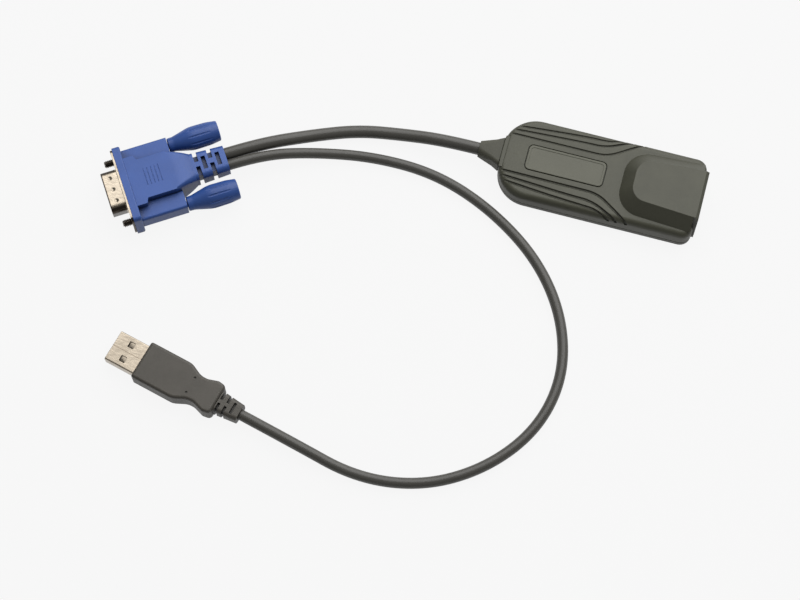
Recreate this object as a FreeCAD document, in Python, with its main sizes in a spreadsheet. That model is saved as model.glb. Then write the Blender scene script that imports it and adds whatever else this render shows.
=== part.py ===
"""Server-side KVM interface dongle: a network-jack pod with a video lead and a USB lead.

The frame has its origin under the middle of the pod, +X along the pod to its network jack,
+Z up.  The pod, the video plug and the USB plug all rest on z = 0.  Each plug is drawn in a
frame of its own: x from its mating face towards its cable, y across, z up from its middle.
"""
import FreeCAD, Part
import math
import os
import re

import Sketcher

os.makedirs("parts", exist_ok=True)
V = FreeCAD.Vector
doc = FreeCAD.newDocument("kvm_dongle")

# ---------------------------------------------------------------- driving sizes (mm, degrees)
SIZES = {
    # pod shells
    "pod_left": 38.0, "pod_right": 37.7, "pod_half": 16.3, "nose_round": 12.5,
    "tail_round": 4.2, "split_z": 3.0, "wall": 1.8, "floor_thick": 1.2, "ledge_z": 1.6,
    "ledge_wide": 3.2, "roof": 1.55, "side_round": 2.4, "foot_round": 0.9, "seam_bevel": 0.45,
    "land_long": 4.0, "land_half": 6.4, "land_drop": 0.3, "land_round": 0.4,
    # terraces of the upper shell, outermost first
    "tier_one_z": 8.5, "tier_step": 0.2, "panel_left": 36.3, "groove_wide": 0.8,
    "groove_deep": 0.7, "sweep_round": 20.0,
    "line_one_start": 7.4, "line_one_mid": 7.5, "line_one_x": 0.5, "line_one_end": 13.4,
    "line_two_start": 9.2, "line_two_mid": 10.9, "line_two_x": -1.0, "line_two_end": 9.6,
    "line_three_start": 10.9, "line_three_mid": 13.5, "line_three_x": -0.5,
    "line_three_end": 6.8,
    # raised block over the jack
    "block_end": 38.6, "block_top_z": 13.6, "block_top_front": 12.4, "block_top_half": 7.9,
    "block_top_tail": 9.6, "block_top_round": 5.6, "block_spread": 4.4, "block_bevel": 1.1,
    "block_roof": 2.5, "bezel_deep": 1.2, "bezel_half": 12.0,
    # badge
    "badge_x": -13.5, "badge_long": 29.5, "badge_wide": 10.0, "badge_round": 1.7,
    "badge_thick": 0.9, "badge_sunk": 0.7, "badge_gap": 0.3, "badge_bevel": 0.15,
    "badge_rim": 0.9, "badge_dip": 0.12,
    # circuit board and what it carries
    "board_left": 30.5, "board_right": 35.2, "board_gap": 1.3, "board_thick": 1.0,
    "board_round": 6.0, "chip_side": 10.0, "chip_tall": 1.5, "memory_long": 6.0,
    "memory_wide": 5.0, "memory_tall": 1.2, "crystal_long": 11.0, "crystal_wide": 4.6,
    "crystal_tall": 3.4, "cap_bore": 2.0, "cap_tall": 4.2, "cap_spread": 6.2,
    "header_long": 3.4, "header_wide": 8.4, "header_tall": 3.0,
    # network jack
    "jack_half": 7.8, "jack_tall": 9.6, "jack_deep": 13.8, "jack_recess": 0.3,
    "jack_gap": 0.12, "socket_wide": 11.8, "socket_tall": 6.8, "socket_deep": 12.8,
    "socket_sill": 2.0, "tab_wide": 6.3, "tab_tall": 1.4, "contact_wide": 0.4,
    "contact_thick": 0.3, "contact_pitch": 1.02, "contact_drop": 2.6, "contact_count": 8,
    # boot
    "exit_z": 5.0, "boot_long": 8.5, "boot_wide": 5.9, "boot_high": 3.8, "boot_waist": 4.5,
    "boot_waist_high": 3.6, "boot_flare": 2.8, "boot_neck": 2.6, "boot_tip": 3.0, "boot_gap": 0.05,
    "boot_flange_half": 5.0, "boot_flange_low": 1.6, "boot_flange_high": 7.0,
    "boot_flange_thick": 2.0,
    # cables
    "video_bore": 2.4, "usb_bore": 2.0, "exit_run": 13.5,
    # video plug
    "vga_x": -169.8, "vga_y": -52.6, "vga_turn": 34.0, "plate_half": 15.2, "plate_high": 6.25,
    "plate_thick": 0.8, "plate_round": 2.0, "dee_long": 5.9, "dee_half": 8.46,
    "dee_high": 4.18, "dee_wall": 0.4, "dee_slant": 1.5, "dee_round": 2.2, "dimple": 0.8,
    "dimple_deep": 0.2, "dimple_pitch": 4.6, "screw_spread": 24.99, "screw_bore": 1.42,
    "screw_shank": 1.15, "screw_gap": 0.08, "screw_out": 3.5, "thread_back": 0.25,
    "hood_half": 15.6, "hood_high": 6.7,
    "hood_plate": 3.0, "hood_round": 1.2, "core_half": 8.0, "core_high": 6.3,
    "shelf_half": 10.0, "shelf_end": 7.5, "core_end": 19.5, "core_round": 1.4,
    "rail_half": 14.9, "rail_high": 3.3, "rail_end": 21.2, "rail_round": 1.0,
    "relief_start": 27.5, "relief_end": 40.4, "relief_half": 5.6, "relief_high": 4.2,
    "relief_tip_half": 5.2, "relief_tip_high": 3.6, "relief_round": 2.2, "rib_first": 1.05,
    "rib_pitch": 5.4, "rib_gap": 1.6, "rib_count": 2, "rib_deep": 1.3, "rib_bridge": 1.0,
    "rib_top_half": 2.6, "lead_spread": 4.6,
    "sleeve_half": 9.2, "sleeve_high": 5.0, "sleeve_deep": 5.2, "sleeve_wall": 0.4,
    "fit_gap": 0.06, "pin_bore": 0.4, "pin_long": 4.9, "pin_pitch": 2.29, "row_pitch": 1.98,
    "grip_gap": 0.2, "grip_end": 41.1, "grip_neck": 2.7, "grip_belly": 4.5,
    "grip_tip": 3.8, "grip_bore_deep": 8.0, "flute_bore": 0.5, "flute_count": 10,
    # USB plug
    "usb_x": -154.7, "usb_y": -110.4, "usb_turn": -13.6, "shell_wide": 12.0,
    "shell_high": 4.5, "shell_wall": 0.3, "shell_long": 19.7, "shell_round": 0.5,
    "window_side": 2.3, "window_x": 6.0, "window_spread": 6.0, "mould_start": 12.0,
    "mould_half": 7.5, "mould_high": 4.0, "mould_end": 44.1, "waist_start": 29.1,
    "waist_x": 35.6, "waist_half": 5.1, "collar_x": 40.9, "collar_half": 6.4,
    "mould_round": 1.1, "usb_relief_end": 53.1, "usb_relief_half": 4.2,
    "usb_relief_tip": 3.35, "usb_relief_high": 3.4, "usb_relief_tip_high": 2.9,
    "usb_relief_round": 1.6, "usb_rib_first": 0.5, "usb_rib_pitch": 2.6, "usb_rib_gap": 1.0,
    "usb_rib_count": 2, "usb_rib_deep": 0.8, "usb_rib_bridge": 0.7, "usb_rib_top_half": 2.2,
    "dot_bore": 0.45, "dot_x": 32.8, "dot_spread": 6.2,
    "tongue_start": 0.6, "tongue_top": 0.1, "tongue_block": 10.0, "pad_wide": 1.0,
    "pad_thick": 0.2, "pad_long": 7.6, "pad_pitch": 2.5,
}
sheet = doc.addObject("Spreadsheet::Sheet", "sizes")
for row, (alias, value) in enumerate(SIZES.items(), 1):
    sheet.set("A%d" % row, alias)
    sheet.set("B%d" % row, str(value))
    sheet.setAlias("B%d" % row, alias)
doc.recompute()


# ---------------------------------------------------------------- helpers
def bind(text):
    """An expression over the sheet: its bare size names are pointed at the cells."""
    return re.sub(r"[a-z][a-z_]+", lambda m: "sizes." + m[0] if m[0] in SIZES else m[0], text)


def val(text):
    """The value of such an expression now."""
    return float(sheet.evalExpression(re.sub(r"sizes\.", "", bind(str(text)))))


def tie(obj, prop, text):
    """Bind one property of an object to an expression over the sheet."""
    obj.setExpression(prop, bind(str(text)))


def plane(body, role):
    return [f for f in body.Origin.OriginFeatures if f.Role == role][0]


def body(label, frame=None):
    """A PartDesign body, placed in the pod's frame or in one of the plugs' frames."""
    obj = doc.addObject("PartDesign::Body", label)
    obj.Label = label
    if frame:
        place(obj, frame)
    return obj


def place(obj, frame):
    """Stand an object in a plug's frame: 'vga' or 'usb'."""
    high = {"vga": "hood_high", "usb": "mould_high"}[frame]
    tie(obj, ".Placement.Base.x", frame + "_x")
    tie(obj, ".Placement.Base.y", frame + "_y")
    tie(obj, ".Placement.Base.z", high)
    obj.Placement.Rotation = FreeCAD.Rotation(V(0, 0, 1), val(frame + "_turn"))
    tie(obj, ".Placement.Rotation.Angle", frame + "_turn")


def pin_point(sk, geo, pos, x, y):
    """Hold one point of a sketch at (x, y), both expressions."""
    for kind, axis, text in (("DistanceX", -2, x), ("DistanceY", -1, y)):
        if text == "0":
            sk.addConstraint(Sketcher.Constraint("PointOnObject", geo, pos, axis))
        else:
            c = sk.addConstraint(Sketcher.Constraint(kind, -1, 1, geo, pos, val(text)))
            tie(sk, "Constraints[%d]" % c, text)


def outline(sk, corners):
    """Closed outline through (x, y) or (x, y, radius) corners, drawn and constrained."""
    pts = [V(val(c[0]), val(c[1]), 0) for c in corners]
    n = len(pts)
    area = sum(pts[i].x * pts[(i + 1) % n].y - pts[(i + 1) % n].x * pts[i].y for i in range(n))
    if area < 0:
        pts.reverse()
        corners = corners[::-1]
    cuts = []
    for i, c in enumerate(corners):
        p = pts[i]
        back, ahead = (pts[i - 1] - p).normalize(), (pts[(i + 1) % n] - p).normalize()
        if len(c) < 3:
            cuts.append((p, p, None, 0, True))
            continue
        r = val(c[2])
        half = back.getAngle(ahead) / 2
        reach = r / math.tan(half)
        centre = p + (back + ahead).normalize() * (r / math.sin(half))
        left = (p - pts[i - 1]).cross(pts[(i + 1) % n] - p).z > 0
        cuts.append((p + back * reach, p + ahead * reach, centre, r, left))
    lines = []
    for i in range(n):
        lines.append(sk.addGeometry(Part.LineSegment(cuts[i][1], cuts[(i + 1) % n][0]), False))
    for i, c in enumerate(corners):
        before, after = lines[i - 1], lines[i]
        start, end, centre, r, left = cuts[i]
        if centre is None:
            sk.addConstraint(Sketcher.Constraint("Coincident", before, 2, after, 1))
            pin_point(sk, after, 1, c[0], c[1])
            continue
        a, b = (start, end) if left else (end, start)
        first = math.atan2(a.y - centre.y, a.x - centre.x)
        last = math.atan2(b.y - centre.y, b.x - centre.x)
        if last < first:
            last += 2 * math.pi
        arc = sk.addGeometry(
            Part.ArcOfCircle(Part.Circle(centre, V(0, 0, 1), r), first, last), False)
        tip = sk.addGeometry(Part.Point(pts[i]), True)
        sk.addConstraint([
            Sketcher.Constraint("Tangent", before, 2, arc, 1 if left else 2),
            Sketcher.Constraint("Tangent", after, 1, arc, 2 if left else 1),
            Sketcher.Constraint("PointOnObject", tip, 1, before),
            Sketcher.Constraint("PointOnObject", tip, 1, after)])
        pin_point(sk, tip, 1, c[0], c[1])
        k = sk.addConstraint(Sketcher.Constraint("Radius", arc, r))
        tie(sk, "Constraints[%d]" % k, c[2])


def ring(sk, x, y, r):
    """A circle at (x, y)."""
    g = sk.addGeometry(Part.Circle(V(val(x), val(y), 0), V(0, 0, 1), val(r)), False)
    pin_point(sk, g, 3, x, y)
    k = sk.addConstraint(Sketcher.Constraint("Radius", g, val(r)))
    tie(sk, "Constraints[%d]" % k, r)


def sketch(owner, name, role, offset, *shapes):
    """A sketch on an origin plane of its body; shapes are corner lists or (x, y, r) circles."""
    sk = owner.newObject("Sketcher::SketchObject", name)
    sk.AttachmentSupport = [(plane(owner, role), "")]
    sk.MapMode = "FlatFace"
    if offset != "0":
        # the XZ plane faces -Y, so its offset is turned round to count along +Y
        tie(sk, ".AttachmentOffset.Base.z", neg(offset) if role == "XZ_Plane" else offset)
    for shape in shapes:
        if isinstance(shape, list):
            outline(sk, shape)
        else:
            ring(sk, *shape)
    doc.recompute()
    return sk


def box(x0, x1, y0, y1, r=None):
    """Corners of a rectangle, rounded by r."""
    tail = (r,) if r else ()
    return [(x0, y0) + tail, (x1, y0) + tail, (x1, y1) + tail, (x0, y1) + tail]


def neg(text):
    return "-(%s)" % text


def mid_box(half_x, half_y, r=None):
    return box(neg(half_x), half_x, neg(half_y), half_y, r)


def feature(owner, kind, name, profile, length=None, flip=False, **props):
    """A PartDesign feature on a sketch: Pad, Pocket, AdditiveLoft and so on."""
    before = owner.Shape.Volume if owner.Tip else 0.0
    f = owner.newObject("PartDesign::" + kind, name)
    f.Profile = profile
    if length:
        tie(f, "Length", length)
    f.Reversed = flip
    for key, value in props.items():
        setattr(f, key, value)
    doc.recompute()
    grew = owner.Shape.Volume - before
    if "Subtractive" in kind or kind in ("Pocket", "Groove"):
        grew = -grew
    if grew <= 0:
        raise RuntimeError("%s.%s changed nothing" % (owner.Label, name))
    return f


def pad(owner, name, role, offset, length, *shapes):
    sk = sketch(owner, name + "_sketch", role, offset, *shapes)
    return feature(owner, "Pad", name, sk, length, flip=role == "XZ_Plane")


def pocket(owner, name, role, offset, length, *shapes):
    """Cut from the plane's offset along its positive axis."""
    sk = sketch(owner, name + "_sketch", role, offset, *shapes)
    return feature(owner, "Pocket", name, sk, length, flip=role != "XZ_Plane")


def turn(owner, name, corners):
    """A solid of revolution about the body's X axis."""
    sk = sketch(owner, name + "_sketch", "XY_Plane", "0", corners)
    return feature(owner, "Revolution", name, sk, None,
                   ReferenceAxis=(plane(owner, "X_Axis"), [""]), Angle=360.0)


def dress(owner, kind, name, size, want):
    """Fillet or chamfer the edges that want() picks from the body's last feature."""
    base = owner.Tip
    names = ["Edge%d" % (i + 1) for i, e in enumerate(base.Shape.Edges) if want(e)]
    if not names:
        raise RuntimeError("%s.%s finds no edge" % (owner.Label, name))
    f = owner.newObject("PartDesign::" + kind, name)
    f.Base = (base, names)
    tie(f, "Radius" if kind == "Fillet" else "Size", size)
    doc.recompute()
    return f


def copies(owner, name, originals, axis, pitch, count):
    """A linear pattern along an origin axis, by pitch."""
    f = owner.newObject("PartDesign::LinearPattern", name)
    f.Originals = originals
    f.Direction = (plane(owner, axis), [""])
    f.Mode = "Spacing"
    tie(f, "Offset", pitch)
    tie(f, "Occurrences", count)
    owner.Tip = f
    doc.recompute()
    return f


def flat(e, axis, at):
    """Whether an edge lies in the plane axis = at."""
    b = e.BoundBox
    low, high = {"x": (b.XMin, b.XMax), "y": (b.YMin, b.YMax), "z": (b.ZMin, b.ZMax)}[axis]
    return abs(low - at) < 1e-4 and abs(high - at) < 1e-4


# ---------------------------------------------------------------- pod: shared outlines
PLAN = [("-pod_left", "-pod_half", "nose_round"), ("pod_right", "-pod_half", "tail_round"),
        ("pod_right", "pod_half", "tail_round"), ("-pod_left", "pod_half", "nose_round")]
ROOM = [("-pod_left + wall", "-pod_half + wall", "nose_round - wall"),
        ("pod_right - wall", "-pod_half + wall", "tail_round - wall"),
        ("pod_right - wall", "pod_half - wall", "tail_round - wall"),
        ("-pod_left + wall", "pod_half - wall", "nose_round - wall")]
LEDGE_HALF = "pod_half - wall - ledge_wide"
BOARD_HALF = "pod_half - wall - board_gap"
LINES = ["one", "two", "three"]          # innermost line first
BEYOND = "pod_right + 8"


def sweep_line(which, grow):
    """The terrace inside one of the three lines that sweep out to the pod's sides."""
    start, mid = "line_%s_start + %s" % (which, grow), "line_%s_mid + %s" % (which, grow)
    x0 = "-panel_left - %s" % grow if which == "one" else "-pod_left - 4 - %s" % grow
    x1, xe = "line_%s_x" % which, "line_%s_end" % which
    # past the pod's side the line runs on at its slope, then squarely to the far end
    out = "%.1f + %s" % (0.6 + 0.9 * LINES.index(which), grow)
    far = "pod_half + %s" % out
    slope = "(%s - %s) * ((%s - %s) / (pod_half - line_%s_mid))" % (
        xe, x1, far, mid, which)
    xf = "%s + %s" % (x1, slope)
    half = [(x0, start), (x1, mid, "sweep_round"), (xf, far), (BEYOND + " + " + out, far)]
    return [(x, neg(y)) + tuple(r) for x, y, *r in half] + half[::-1]


def loose_sketch(name, z, *shapes):
    sk = doc.addObject("Sketcher::SketchObject", name)
    tie(sk, ".Placement.Base.z", z)
    for shape in shapes:
        outline(sk, shape)
    doc.recompute()
    return sk


def extrude(name, sk, length):
    e = doc.addObject("Part::Extrusion", name)
    e.Base = sk
    e.DirMode = "Normal"
    e.Solid = True
    tie(e, "LengthFwd", length)
    doc.recompute()
    return e


def tier_z(level):
    """Height of terrace 0 (outermost) to 3 (the panel)."""
    return "tier_one_z + %d * tier_step" % level


PANEL_Z = tier_z(3)

# ---------------------------------------------------------------- pod: upper housing
terraces = []
for level in range(4):
    slab = body("slab_%d" % level)
    pad(slab, "slab_pad", "XY_Plane", "split_z", tier_z(level) + " - split_z", PLAN)
    dress(slab, "Fillet", "slab_edge", "side_round", lambda e: flat(e, "z", val(tier_z(level))))
    if level:
        which = LINES[3 - level]
        field = extrude("field_" + which, loose_sketch("field_sketch_" + which, "split_z",
                        sweep_line(which, "0")), "block_top_z")
        slab_in = doc.addObject("Part::Common", "terrace_" + which)
        slab_in.Base, slab_in.Tool = slab, field
        terraces.append(slab_in)
    else:
        terraces.append(slab)


def block_plan(inset):
    """D-fronted plan of the jack block; inset shrinks it from its foot."""
    front = "block_top_front - block_spread + %s" % inset
    half = "block_top_half + block_spread - %s" % inset
    tail = "block_top_tail + block_spread - %s" % inset
    turned = "block_top_round + (block_spread - %s) * 0.8" % inset
    end = "pod_right - bezel_deep * 0.8"
    return [(end, neg(tail)), (end, tail), (front, half, turned), (front, neg(half), turned)]


block = body("block")
pad(block, "block_base", "XY_Plane", "split_z", PANEL_Z + " - split_z", block_plan("0"))
foot = sketch(block, "block_foot", "XY_Plane", PANEL_Z, block_plan("0"))
crown = sketch(block, "block_crown", "XY_Plane", "block_top_z", block_plan("block_spread"))
feature(block, "AdditiveLoft", "block_loft", foot, Sections=[crown], Ruled=True)
pad(block, "block_bezel", "YZ_Plane", "pod_right - bezel_deep",
    "block_end - pod_right + bezel_deep",
    [("-bezel_half", "split_z"), ("bezel_half", "split_z"), ("block_top_tail", "block_top_z"),
     ("-block_top_tail", "block_top_z")])
pocket(block, "block_end_bevel", "XZ_Plane", "-pod_half", "2 * pod_half",
       [("block_end - block_bevel", "block_top_z"), ("block_end + 1", "block_top_z + 1"),
        ("block_end + 1", "block_top_z - block_bevel"),
        ("block_end", "block_top_z - block_bevel")])

# flat land at the cable end, against which the boot's collar sits
land = body("end_land")
pad(land, "land_pad", "XY_Plane", "split_z", PANEL_Z + " - land_drop - split_z", PLAN)
pocket(land, "land_front", "XY_Plane", "split_z", "block_top_z",
       box("-pod_left + land_long", "pod_right + 1", "-pod_half - 1", "pod_half + 1"))
pocket(land, "land_sides", "XY_Plane", "split_z", "block_top_z",
       box("-pod_left - 1", "pod_right + 1", "land_half", "pod_half + 1"),
       box("-pod_left - 1", "pod_right + 1", "-pod_half - 1", "-land_half"))
dress(land, "Fillet", "land_edge", "land_round",
      lambda e: flat(e, "z", val(PANEL_Z + " - land_drop"))
      and e.BoundBox.XMax < -val("pod_left - land_long + 0.1"))

mass = doc.addObject("Part::MultiFuse", "upper_mass")
mass.Shapes = terraces + [block, land]
doc.recompute()

BLOCK_ROOM = "block_top_half - block_roof * 0.9"
JACK_TOP = "ledge_z + board_thick + jack_tall"
BOARD_TOP = "ledge_z + board_thick"
hollows = []
for level in (1, 2, 3):
    which = LINES[3 - level]
    ring_sketch = loose_sketch("groove_sketch_" + which, tier_z(level - 1) + " - groove_deep",
                               sweep_line(which, "groove_wide"), sweep_line(which, "0"))
    hollows.append(extrude("groove_" + which, ring_sketch, "tier_step + groove_deep"))
room = body("upper_room")
pad(room, "room_all", "XY_Plane", "split_z", "tier_one_z - roof - split_z", ROOM)
pad(room, "room_middle", "XY_Plane", "split_z", "tier_one_z + tier_step - roof - split_z",
    [("-pod_left + wall + ledge_wide", neg(LEDGE_HALF + " - 3"), "3"),
     ("block_top_front", neg(LEDGE_HALF + " - 3")), ("block_top_front", LEDGE_HALF + " - 3"),
     ("-pod_left + wall + ledge_wide", LEDGE_HALF + " - 3", "3")])
pad(room, "room_boot", "XY_Plane", "split_z", PANEL_Z + " - roof - split_z",
    box("-pod_left + wall", "-pod_left + wall + ledge_wide + 3",
        neg("boot_flange_half + boot_gap + 0.2"), "boot_flange_half + boot_gap + 0.2"))
pad(room, "room_block", "XY_Plane", "split_z", "block_top_z - 1.6 * block_roof - split_z",
    box("block_top_front + block_roof", "block_end - jack_deep", neg(BLOCK_ROOM),
        BLOCK_ROOM))
pad(room, "room_jack", "XY_Plane", "split_z", JACK_TOP + " + jack_gap - split_z",
    box("block_end - jack_recess - jack_deep - jack_gap", "block_end + 2",
        neg("jack_half + jack_gap"), "jack_half + jack_gap"))
pad(room, "badge_seat", "XY_Plane", PANEL_Z + " - badge_sunk", "badge_thick + 1",
    box("badge_x - badge_long / 2 - badge_gap", "badge_x + badge_long / 2 + badge_gap",
        "-badge_wide / 2 - badge_gap", "badge_wide / 2 + badge_gap",
        "badge_round + badge_gap"))
pad(room, "exit_hole", "YZ_Plane", "-pod_left - 1", "wall + 2",
    ("0", "exit_z", "boot_neck + boot_gap"))
hollows.append(room)
void = doc.addObject("Part::MultiFuse", "upper_void")
void.Shapes = hollows
upper = doc.addObject("Part::Cut", "upper_housing")
upper.Label = "upper_housing"
upper.Base, upper.Tool = mass, void
doc.recompute()

# ---------------------------------------------------------------- pod: lower housing
lower = body("lower_housing")
pad(lower, "tray", "XY_Plane", "0", "split_z", PLAN)
dress(lower, "Fillet", "tray_foot", "foot_round", lambda e: flat(e, "z", 0))
dress(lower, "Chamfer", "tray_seam", "seam_bevel", lambda e: flat(e, "z", val("split_z")))
pad(lower, "tray_bezel", "XY_Plane", "foot_round", "split_z - foot_round",
    box("pod_right - wall", "block_end", "-bezel_half", "bezel_half"))
pocket(lower, "tray_room", "XY_Plane", "ledge_z", "split_z", ROOM)
pocket(lower, "tray_floor", "XY_Plane", "floor_thick", "split_z",
       box("-pod_left + wall", "board_right - 1.5", neg(LEDGE_HALF), LEDGE_HALF, "2"))
pocket(lower, "jack_sill", "XY_Plane", BOARD_TOP, "split_z",
       box("pod_right - wall - 1", "block_end + 1", neg("jack_half + jack_gap"),
           "jack_half + jack_gap"))
pocket(lower, "exit_notch", "YZ_Plane", "-pod_left - 1", "wall + 2",
       ("0", "exit_z", "boot_neck + boot_gap"))

# ---------------------------------------------------------------- pod: badge and boot
badge = body("badge_plate")
pad(badge, "badge_pad", "XY_Plane", PANEL_Z + " - badge_sunk", "badge_thick",
    box("badge_x - badge_long / 2", "badge_x + badge_long / 2", "-badge_wide / 2",
        "badge_wide / 2", "badge_round"))
dress(badge, "Chamfer", "badge_edge", "badge_bevel",
      lambda e: flat(e, "z", val(PANEL_Z + " - badge_sunk + badge_thick")))
pocket(badge, "badge_field", "XY_Plane", PANEL_Z + " - badge_sunk + badge_thick - badge_dip",
       "1", box("badge_x - badge_long / 2 + badge_rim", "badge_x + badge_long / 2 - badge_rim",
                "-badge_wide / 2 + badge_rim", "badge_wide / 2 - badge_rim",
                "badge_round - badge_rim * 0.6"))

boot = body("cable_boot")
pad(boot, "boot_neck_pad", "YZ_Plane", "-pod_left", "wall + boot_gap",
    ("0", "exit_z", "boot_neck"))
pad(boot, "boot_flange", "YZ_Plane", "-pod_left + wall + boot_gap", "boot_flange_thick",
    box(neg("boot_flange_half"), "boot_flange_half", "boot_flange_low", "boot_flange_high",
        "0.6"))


def oval(half_y, half_z, z0="exit_z", share="0.92"):
    """A rounded rectangle close to an ellipse, in a YZ plane."""
    r = "min(%s; %s) * %s" % (half_y, half_z, share)
    return box(neg(half_y), half_y, "%s - %s" % (z0, half_z), "%s + %s" % (z0, half_z), r)


collar = sketch(boot, "boot_collar", "YZ_Plane", "-pod_left",
                oval("boot_wide", "boot_high", share="0.4"))
waist = sketch(boot, "boot_middle", "YZ_Plane", "-pod_left - boot_flare",
               oval("boot_waist", "boot_waist_high", share="0.45"))
nozzle = sketch(boot, "boot_nozzle", "YZ_Plane", "-pod_left - boot_long",
                oval("boot_tip", "boot_tip"))
feature(boot, "AdditiveLoft", "boot_cone", collar, Sections=[waist, nozzle], Ruled=True)

# ---------------------------------------------------------------- pod: board and its parts
board = body("circuit_board")
pad(board, "board_pad", "XY_Plane", "ledge_z", "board_thick",
    [("-board_left", neg(BOARD_HALF), "board_round"), ("board_right", neg(BOARD_HALF), "1"),
     ("board_right", BOARD_HALF, "1"), ("-board_left", BOARD_HALF, "board_round")])


def block_on_board(label, x, y, half_x, half_y, tall, r=None, bevel=None):
    """One boxy component that stands on the board."""
    part = body(label)
    pad(part, label + "_pad", "XY_Plane", BOARD_TOP, tall,
        box("%s - %s" % (x, half_x), "%s + %s" % (x, half_x), "%s - %s" % (y, half_y),
            "%s + %s" % (y, half_y), r))
    if bevel:
        top = val(BOARD_TOP + " + " + tall)
        dress(part, "Chamfer", label + "_edge", bevel, lambda e: flat(e, "z", top))
    return part


block_on_board("controller_chip", "1", "0", "chip_side / 2", "chip_side / 2", "chip_tall",
               bevel="0.25")
block_on_board("memory_chip", "-13", "4.5", "memory_long / 2", "memory_wide / 2",
               "memory_tall", bevel="0.2")
block_on_board("crystal", "-13", "-4.5", "crystal_long / 2", "crystal_wide / 2",
               "crystal_tall", r="crystal_wide / 2 - 0.05", bevel="0.3")
block_on_board("wire_header", "-board_left + 4", "0", "header_long / 2", "header_wide / 2",
               "header_tall", bevel="0.3")
caps = body("capacitors")
pad(caps, "cans", "XY_Plane", BOARD_TOP, "cap_tall",
    ("block_top_front + 5.5", "cap_spread / 2", "cap_bore"),
    ("block_top_front + 5.5", "-cap_spread / 2", "cap_bore"))

# ---------------------------------------------------------------- pod: network jack
FACE = "block_end - jack_recess"
SILL = BOARD_TOP + " + socket_sill"
jack = body("jack_housing")
pad(jack, "jack_block", "XY_Plane", BOARD_TOP, "jack_tall",
    box(FACE + " - jack_deep", FACE, neg("jack_half"), "jack_half"))
pocket(jack, "socket", "YZ_Plane", FACE + " - socket_deep", "socket_deep + 1",
       [("-socket_wide / 2", SILL), ("-tab_wide / 2", SILL),
        ("-tab_wide / 2", SILL + " - tab_tall"), ("tab_wide / 2", SILL + " - tab_tall"),
        ("tab_wide / 2", SILL), ("socket_wide / 2", SILL),
        ("socket_wide / 2", SILL + " + socket_tall"),
        ("-socket_wide / 2", SILL + " + socket_tall")])

ROOF = SILL + " + socket_tall"
BACK = FACE + " - socket_deep"
contacts = body("jack_contacts")
first = pad(contacts, "contact", "XZ_Plane", "-(contact_count - 1) * contact_pitch / 2"
            " - contact_wide / 2", "contact_wide",
            [(BACK, ROOF + " - contact_drop"), (BACK + " + 2", ROOF + " - contact_drop"),
             (FACE + " - 2", ROOF), (FACE + " - 2.6 - contact_thick", ROOF),
             (BACK + " + 2", ROOF + " - contact_drop + contact_thick * 1.3"),
             (BACK, ROOF + " - contact_drop + contact_thick * 1.3")])
copies(contacts, "contact_row", [first], "Y_Axis", "contact_pitch", "contact_count")

# ---------------------------------------------------------------- video plug: connector
def screw_holes(radius):
    """Two holes for the thumbscrews, clear of the given radius of theirs."""
    return [("screw_spread / 2", "0", radius + " + screw_gap"),
            ("-screw_spread / 2", "0", radius + " + screw_gap")]


def dee(grow):
    """The D outline of the connector in a YZ plane, wide side up, grown all round."""
    top, low = "dee_half + %s" % grow, "dee_half - dee_slant + %s" % grow
    high, r = "dee_high + %s" % grow, "dee_round + %s" % grow
    return [(neg(low), neg(high), r), (low, neg(high), r), (top, high, r), (neg(top), high, r)]


front = body("vga_front_shell", "vga")
pad(front, "plate", "YZ_Plane", "0", "plate_thick", mid_box("plate_half", "plate_high",
                                                          "plate_round"))
pad(front, "dee_tube", "YZ_Plane", "-dee_long", "dee_long", dee("dee_wall"))
dress(front, "Fillet", "dee_lip", "dee_wall * 0.6", lambda e: flat(e, "x", -val("dee_long")))
pocket(front, "dee_hollow", "YZ_Plane", "-dee_long - 1", "dee_long + plate_thick + 2", dee("0"))
pocket(front, "plate_holes", "YZ_Plane", "-1", "plate_thick + 2", *screw_holes("screw_bore"))
pocket(front, "top_dimples", "XY_Plane", "dee_high + dee_wall - dimple_deep", "1",
       *[("-dee_long / 2", "%d * dimple_pitch" % i, "dimple") for i in (-1, 0, 1)])
bottom = sketch(front, "low_dimples_sketch", "XY_Plane", "-dee_high - dee_wall + dimple_deep",
                *[("-dee_long / 2", "%d * dimple_pitch / 2" % i, "dimple") for i in (-1, 1)])
feature(front, "Pocket", "low_dimples", bottom, "1")

sleeve = body("vga_rear_shell", "vga")
pad(sleeve, "sleeve_tube", "YZ_Plane", "plate_thick", "sleeve_deep",
    mid_box("sleeve_half", "sleeve_high", "1.2"),
    mid_box("sleeve_half - sleeve_wall", "sleeve_high - sleeve_wall", "0.8"))

insert = body("vga_insert", "vga")
pad(insert, "insert_face", "YZ_Plane", "-fit_gap * 4", "plate_thick + fit_gap * 4",
    dee("(-fit_gap)"))
pad(insert, "insert_back", "YZ_Plane", "plate_thick", "sleeve_deep",
    mid_box("sleeve_half - sleeve_wall - fit_gap", "sleeve_high - sleeve_wall - fit_gap",
            "0.7"))

pins = body("vga_pins", "vga")
spots = [("(%d %s) * pin_pitch" % (i, "+ 0.25" if row == 0 else "- 0.25"),
          "%d * row_pitch" % row, "pin_bore") for row in (1, 0, -1) for i in range(-2, 3)]
pad(pins, "pin_rods", "YZ_Plane", "-fit_gap * 4 - pin_long", "pin_long", *spots)
dress(pins, "Chamfer", "pin_tips", "pin_bore * 0.5",
      lambda e: flat(e, "x", -val("fit_gap * 4 + pin_long")))

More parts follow.
